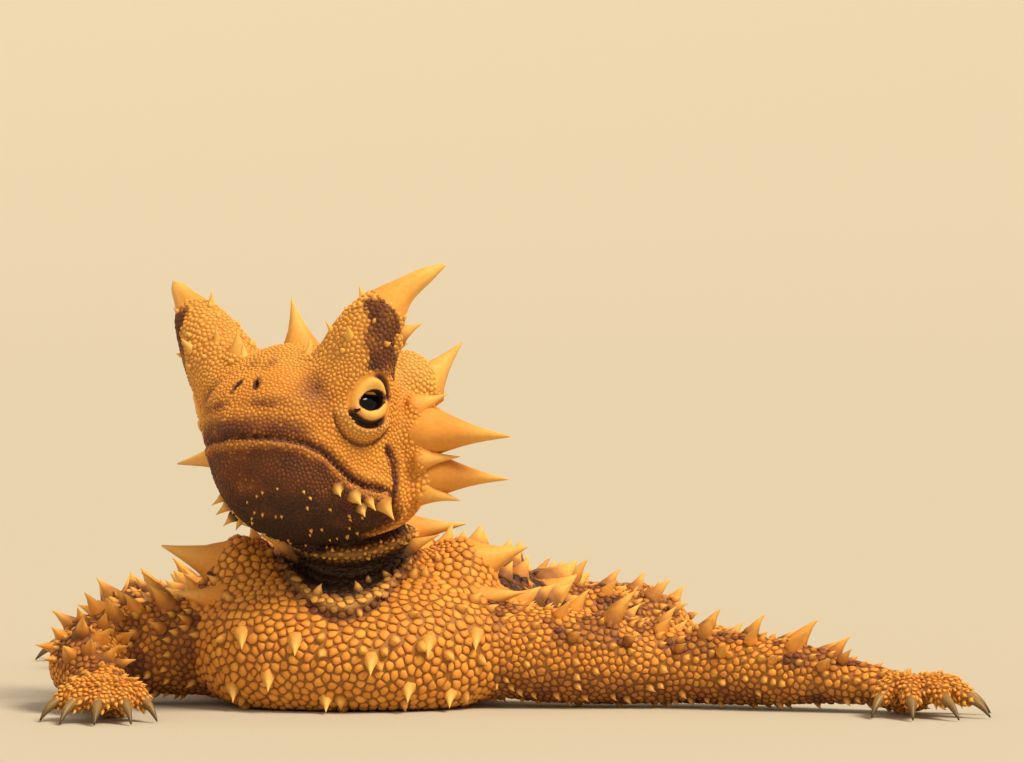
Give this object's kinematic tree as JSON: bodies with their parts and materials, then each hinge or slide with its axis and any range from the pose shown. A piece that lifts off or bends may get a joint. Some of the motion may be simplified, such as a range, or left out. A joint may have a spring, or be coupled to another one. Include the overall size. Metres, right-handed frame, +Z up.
{
  "type": "thorny devil lizard model",
  "caption": "Still life-size model of a thorny devil lizard resting on its belly, arms spread, head raised and turned, with horned brows and rows of thorns.",
  "frame": {"origin": "middle of the flat patch where the belly rests on the floor", "axes": "+Y from the snout towards the tail, +Z up, +X to the animal's left"},
  "size_m": [0.0869, 0.1397, 0.0381],
  "materials": {
    "skin": "dry granular scaly skin, golden tan with dark brown patches",
    "horn": "pale scaled brow horn with a smooth worn tip",
    "eye": "wet and glossy, dark"
  },
  "bodies": {
    "root": {"head": "skin", "lower_jaw": "skin", "eye_left": "eye", "eye_right": "eye", "horn_left": "horn", "horn_right": "horn", "neck": "skin", "nape_knob": "skin", "torso": "skin", "tail_base": "skin", "tail_middle": "skin", "tail_tip": "skin", "upper_arm_left": "skin", "forearm_left": "skin", "hand_left": "skin", "thigh_left": "skin", "shin_left": "skin", "foot_left": "skin", "upper_arm_right": "skin", "forearm_right": "skin", "hand_right": "skin", "thigh_right": "skin", "shin_right": "skin", "foot_right": "skin"}
  },
  "joints": []
}
